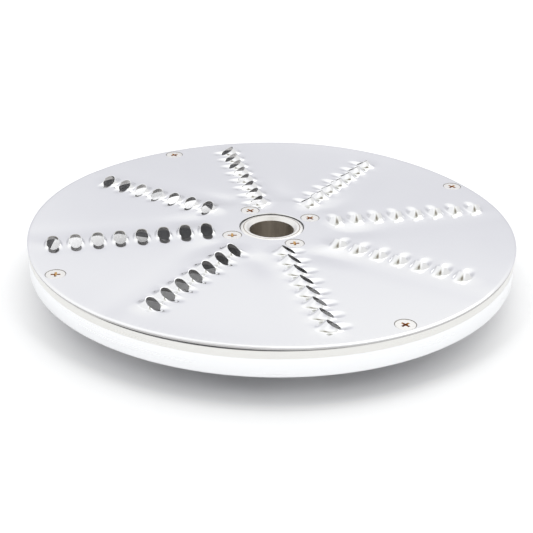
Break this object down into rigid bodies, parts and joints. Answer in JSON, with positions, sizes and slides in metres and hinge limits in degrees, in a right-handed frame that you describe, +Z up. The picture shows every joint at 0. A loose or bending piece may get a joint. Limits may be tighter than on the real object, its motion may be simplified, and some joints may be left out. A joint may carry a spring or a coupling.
{
  "type": "food processor grating disc",
  "caption": "Round grating disc: polished steel plate with rows of raised round teeth, screwed to a cast ribbed wheel whose hub bush drops over a drive shaft.",
  "frame": {"origin": "centre of the hub's underside, on which the disc stands", "axes": "+Z up along the bore axis, out of the toothed face; +X and +Y in the plane of the plate"},
  "size_m": [0.205, 0.205, 0.0254],
  "materials": {
    "polished_steel": "polished",
    "cast_aluminium": "fine cast, turned rim",
    "turned_steel": "turned",
    "screw_steel": "plated"
  },
  "bodies": {
    "root": {"grating_plate": "polished_steel", "carrier": "cast_aluminium", "hub_bush": "turned_steel", "plate_screws": "screw_steel"}
  },
  "joints": []
}
